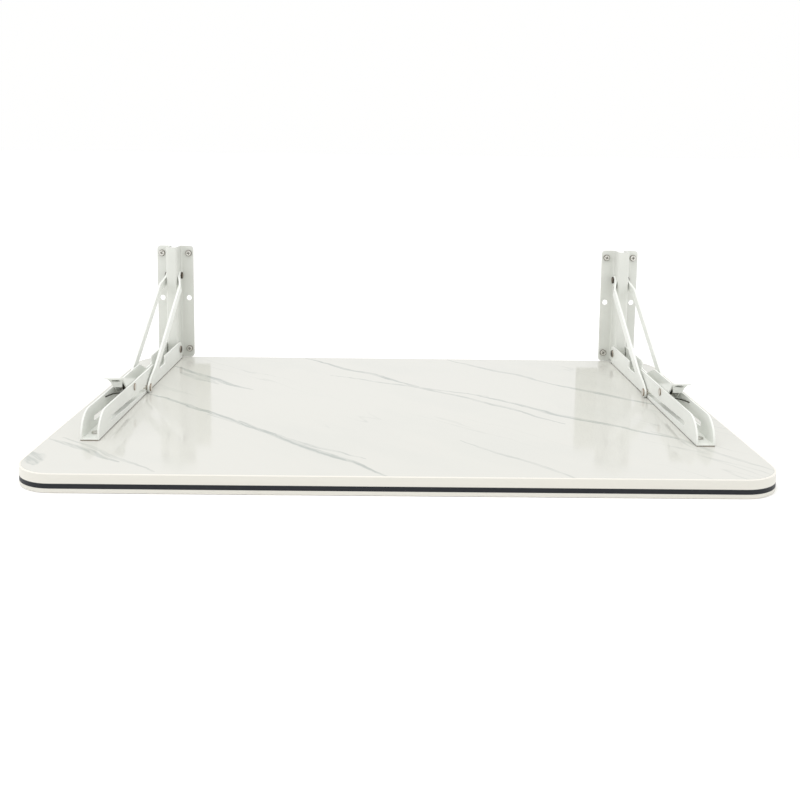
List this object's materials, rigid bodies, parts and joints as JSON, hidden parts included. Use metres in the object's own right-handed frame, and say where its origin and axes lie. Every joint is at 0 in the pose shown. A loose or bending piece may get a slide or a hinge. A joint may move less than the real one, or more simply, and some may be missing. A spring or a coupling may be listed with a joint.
{
  "type": "wall-mounted folding desk",
  "caption": "Wall-mounted folding desk: rounded marble-look worktop with a dark edge stripe on folding steel brackets with struts, sliding pins and release levers.",
  "frame": {"origin": "centre of the worktop face, which the desk lies on here", "axes": "+X along the width, +Y towards the wall, +Z from the worktop face to the underside that carries the brackets; in use the desk is turned over"},
  "size_m": [0.6, 0.4185, 0.1476],
  "materials": {
    "marble_laminate": "glossy marble-pattern laminate with grey-green veins",
    "particle_board": "raw particle board",
    "edge_white": "satin plastic edge band",
    "edge_dark": "dark charcoal inlay",
    "white_powder_coat": "smooth white powder coat on pressed steel",
    "zinc_steel": "zinc-plated screw",
    "rivet_steel": "bare rivet steel",
    "spring_steel": "dark oil-tempered spring wire"
  },
  "bodies": {
    "wall_plates": {"left_wall_plate": "white_powder_coat", "left_wall_screws": "zinc_steel", "left_arm_pivot_pin": "rivet_steel", "left_strut_top_pin": "rivet_steel", "right_wall_plate": "white_powder_coat", "right_wall_screws": "zinc_steel", "right_arm_pivot_pin": "rivet_steel", "right_strut_top_pin": "rivet_steel"},
    "worktop": {"board_core": "particle_board", "face_laminate": "marble_laminate", "back_laminate": "marble_laminate", "edge_band": "edge_white", "edge_stripe": "edge_dark", "left_arm": "white_powder_coat", "left_arm_screws": "zinc_steel", "left_latch_pin": "rivet_steel", "left_latch_spring": "spring_steel", "right_arm": "white_powder_coat", "right_arm_screws": "zinc_steel", "right_latch_pin": "rivet_steel", "right_latch_spring": "spring_steel"},
    "left_struts": {"left_strut_inner": "white_powder_coat", "left_strut_outer": "white_powder_coat", "left_strut_rivets": "rivet_steel"},
    "left_slide_pin": {"left_slide_pin": "rivet_steel"},
    "left_latch": {"left_latch_lever": "white_powder_coat"},
    "right_struts": {"right_strut_inner": "white_powder_coat", "right_strut_outer": "white_powder_coat", "right_strut_rivets": "rivet_steel"},
    "right_slide_pin": {"right_slide_pin": "rivet_steel"},
    "right_latch": {"right_latch_lever": "white_powder_coat"}
  },
  "joints": [
    {"name": "fold", "type": "hinge", "parent": "wall_plates", "child": "worktop", "pos_m": [0, 0.182, 0.0275], "axis": [-1, 0, 0], "range_deg": [0, 88]},
    {"name": "left_strut_swing", "type": "hinge", "parent": "wall_plates", "child": "left_struts", "pos_m": [-0.2615, 0.191, 0.1135], "axis": [-1, 0, 0], "range_deg": [0, 114.04]},
    {"name": "left_pin_travel", "type": "slide", "parent": "worktop", "child": "left_slide_pin", "axis": [0, -0.9995, 0.0326], "range_m": [0, 0.11965]},
    {"name": "left_latch_press", "type": "hinge", "parent": "worktop", "child": "left_latch", "pos_m": [-0.2615, -0.01, 0.033], "axis": [1, 0, 0], "range_deg": [0, 10], "stiffness_Nm_per_rad": 0.4, "springref_deg": -20.05, "deforming": ["left_latch_spring"]},
    {"name": "right_strut_swing", "type": "hinge", "parent": "wall_plates", "child": "right_struts", "pos_m": [0.2615, 0.191, 0.1135], "axis": [-1, 0, 0], "range_deg": [0, 114.04]},
    {"name": "right_pin_travel", "type": "slide", "parent": "worktop", "child": "right_slide_pin", "axis": [0, -0.9995, 0.0326], "range_m": [0, 0.11965]},
    {"name": "right_latch_press", "type": "hinge", "parent": "worktop", "child": "right_latch", "pos_m": [0.2615, -0.01, 0.033], "axis": [1, 0, 0], "range_deg": [0, 10], "stiffness_Nm_per_rad": 0.4, "springref_deg": -20.05, "deforming": ["right_latch_spring"]}
  ],
  "couplings": [
    {"joint": "left_strut_swing", "follows": "fold", "ratio": 1.2959},
    {"joint": "left_pin_travel", "follows": "fold", "m_per_rad": 0.077898},
    {"joint": "right_strut_swing", "follows": "fold", "ratio": 1.2959},
    {"joint": "right_pin_travel", "follows": "fold", "m_per_rad": 0.077898}
  ]
}
